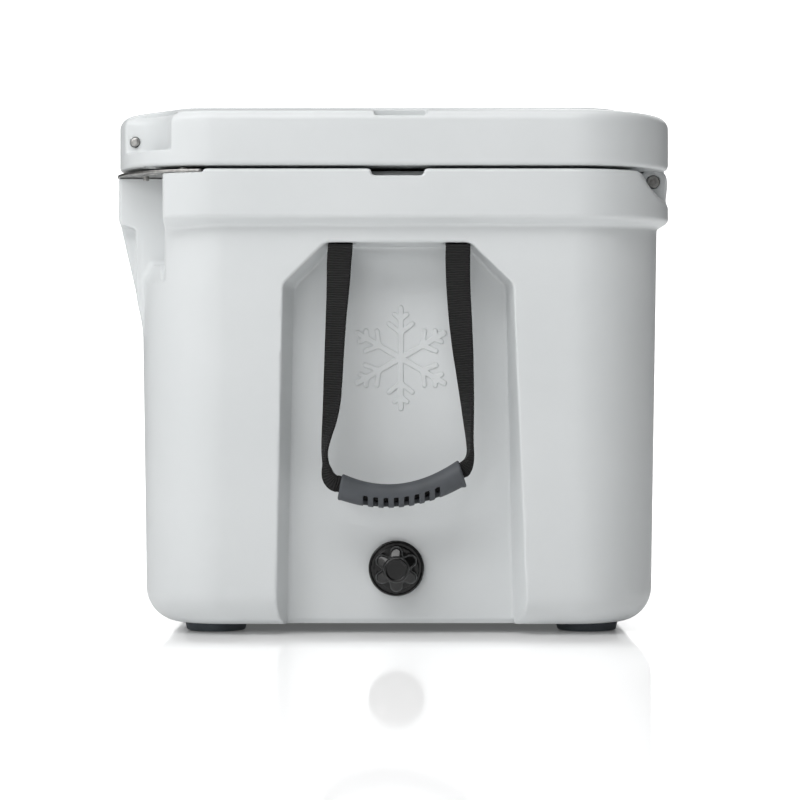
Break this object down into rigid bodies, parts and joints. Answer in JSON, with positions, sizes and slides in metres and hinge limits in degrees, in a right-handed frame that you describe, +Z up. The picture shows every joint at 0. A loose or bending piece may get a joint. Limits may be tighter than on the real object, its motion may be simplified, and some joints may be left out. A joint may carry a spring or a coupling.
{
  "type": "cooler chest",
  "caption": "Hard-sided insulated chest with a hinged lid, rubber latches, padlock corners, end recesses with webbing handles, a screw-out drain and round rubber feet.",
  "frame": {"origin": "middle of the bounding box at the feet's underside", "axes": "+X along the length towards the end with the drain, -Y towards the latches, +Y towards the hinge, +Z up"},
  "size_m": [0.96, 0.492, 0.462],
  "materials": {
    "shell": "satin, fine moulded grain",
    "foam": "rigid closed-cell foam",
    "black_rubber": "matt",
    "slate_rubber": "matt, slightly blue grey",
    "gloss_black": "glossy",
    "steel": "satin",
    "webbing": "ribbed woven webbing"
  },
  "bodies": {
    "chest": {"body_shell": "shell", "body_foam_core": "foam", "body_fill_plug": "shell", "drain_bushing": "gloss_black", "drain_gasket": "black_rubber", "drain_nut": "gloss_black", "hinge_pin_right": "steel", "lock_plate_right": "steel", "lock_plate_screw_right_1": "steel", "lock_plate_screw_right_2": "steel", "strap_end_right_front": "webbing", "strap_anchor_pin_right_front": "steel", "foot_right_front": "slate_rubber", "foot_screw_right_front": "steel", "strap_end_right_rear": "webbing", "strap_anchor_pin_right_rear": "steel", "foot_right_rear": "slate_rubber", "foot_screw_right_rear": "steel", "hinge_pin_left": "steel", "lock_plate_left": "steel", "lock_plate_screw_left_1": "steel", "lock_plate_screw_left_2": "steel", "strap_end_left_front": "webbing", "strap_anchor_pin_left_front": "steel", "foot_left_front": "slate_rubber", "foot_screw_left_front": "steel", "strap_end_left_rear": "webbing", "strap_anchor_pin_left_rear": "steel", "foot_left_rear": "slate_rubber", "foot_screw_left_rear": "steel"},
    "lid": {"lid_shell": "shell", "lid_foam_core": "foam", "lid_fill_plug": "shell", "lid_gasket": "black_rubber", "latch_pin_right": "steel", "latch_pin_left": "steel"},
    "latch_right": {"latch_right": "black_rubber"},
    "latch_left": {"latch_left": "black_rubber"},
    "handle_right": {"handle_strap_right": "webbing", "handle_grip_right": "slate_rubber"},
    "handle_left": {"handle_strap_left": "webbing", "handle_grip_left": "slate_rubber"},
    "drain_seal": {"drain_seal": "black_rubber"},
    "drain_knob": {"drain_knob": "gloss_black"}
  },
  "joints": [
    {"name": "lid_hinge", "type": "hinge", "parent": "chest", "child": "lid", "pos_m": [0, 0.2317, 0.3993], "axis": [-1, 0, 0], "range_deg": [0, 95]},
    {"name": "latch_right_swing", "type": "hinge", "parent": "lid", "child": "latch_right", "pos_m": [0.345, -0.227, 0.432], "axis": [-1, 0, 0], "range_deg": [0, 100], "deforming": ["latch_right"]},
    {"name": "latch_left_swing", "type": "hinge", "parent": "lid", "child": "latch_left", "pos_m": [-0.345, -0.227, 0.432], "axis": [-1, 0, 0], "range_deg": [0, 100], "deforming": ["latch_left"]},
    {"name": "handle_right_swing", "type": "hinge", "parent": "chest", "child": "handle_right", "pos_m": [0.4682, 0.0054, 0.3366], "axis": [0, -1, 0], "range_deg": [0, 135]},
    {"name": "handle_left_swing", "type": "hinge", "parent": "chest", "child": "handle_left", "pos_m": [-0.4682, 0.0054, 0.3366], "axis": [0, 1, 0], "range_deg": [0, 135]},
    {"name": "drain_travel", "type": "slide", "parent": "chest", "child": "drain_seal", "axis": [1, 0, 0], "range_m": [0, 0.024]},
    {"name": "drain_turn", "type": "hinge", "parent": "drain_seal", "child": "drain_knob", "pos_m": [0.445, 0.003, 0.057], "axis": [1, 0, 0], "range_deg": [0, 2160]}
  ],
  "couplings": [
    {"joint": "drain_turn", "follows": "drain_travel", "rad_per_m": 1570.8}
  ]
}
